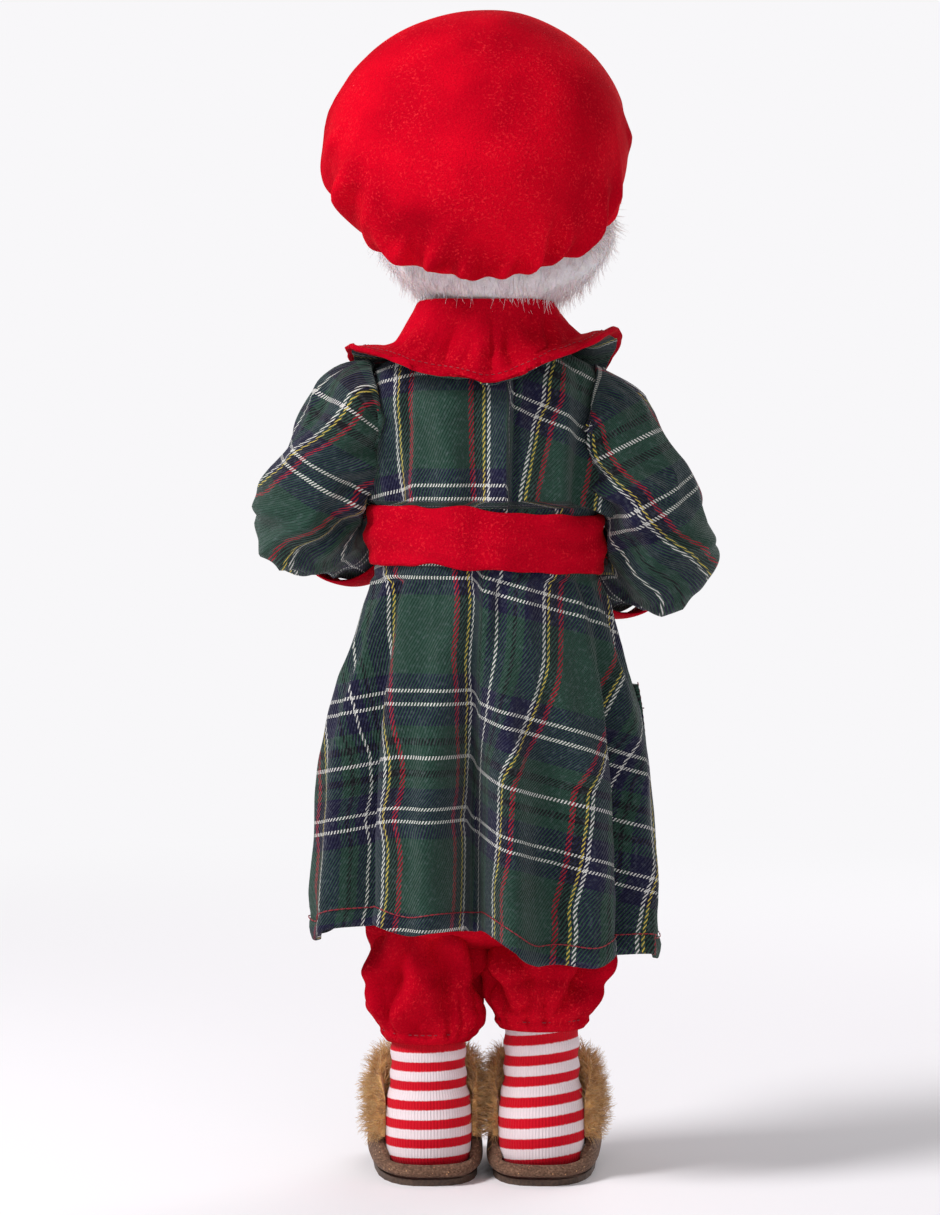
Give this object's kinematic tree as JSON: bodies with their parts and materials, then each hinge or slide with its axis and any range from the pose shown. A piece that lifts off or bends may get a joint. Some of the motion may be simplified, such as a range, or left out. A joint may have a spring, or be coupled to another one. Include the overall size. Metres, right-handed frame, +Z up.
{
  "type": "cloth figurine",
  "caption": "Standing stuffed-cloth figurine of an elderly woman in a belted plaid robe, puffed velvet cap, striped socks and furry slippers.",
  "frame": {"origin": "on the ground, under the middle of the figure's bounding box, between the feet", "axes": "+Z up; the figure faces -Y, so its left side is towards +X"},
  "size_m": [0.1778, 0.153, 0.454],
  "materials": {
    "plaid": "twill",
    "velvet": "velvet pile",
    "knit": "ribbed knit",
    "felt": "glitter felt",
    "sole": "matt",
    "fur": "faux fur",
    "hair": "short fleece",
    "skin": "matt",
    "filling": "matt"
  },
  "bodies": {
    "root": {"slipper_sole_left": "sole", "slipper_sole_right": "sole", "slipper_upper_left": "felt", "slipper_upper_right": "felt", "slipper_fur_left": "fur", "slipper_fur_right": "fur", "sock_left": "knit", "sock_right": "knit", "leg_left": "filling", "leg_right": "filling", "trousers": "velvet", "torso": "velvet", "robe_body": "plaid", "pocket_left": "plaid", "pocket_right": "plaid", "sleeve_left": "plaid", "sleeve_right": "plaid", "cuff_left": "velvet", "cuff_right": "velvet", "arm_left": "filling", "arm_right": "filling", "hand_left": "skin", "hand_right": "skin", "sash": "velvet", "sash_knot": "velvet", "sash_tail_left": "velvet", "sash_tail_right": "velvet", "collar_facing": "velvet", "collar_lining": "plaid", "head": "skin", "hair": "hair", "cap": "velvet", "cap_filling": "filling"}
  },
  "joints": []
}
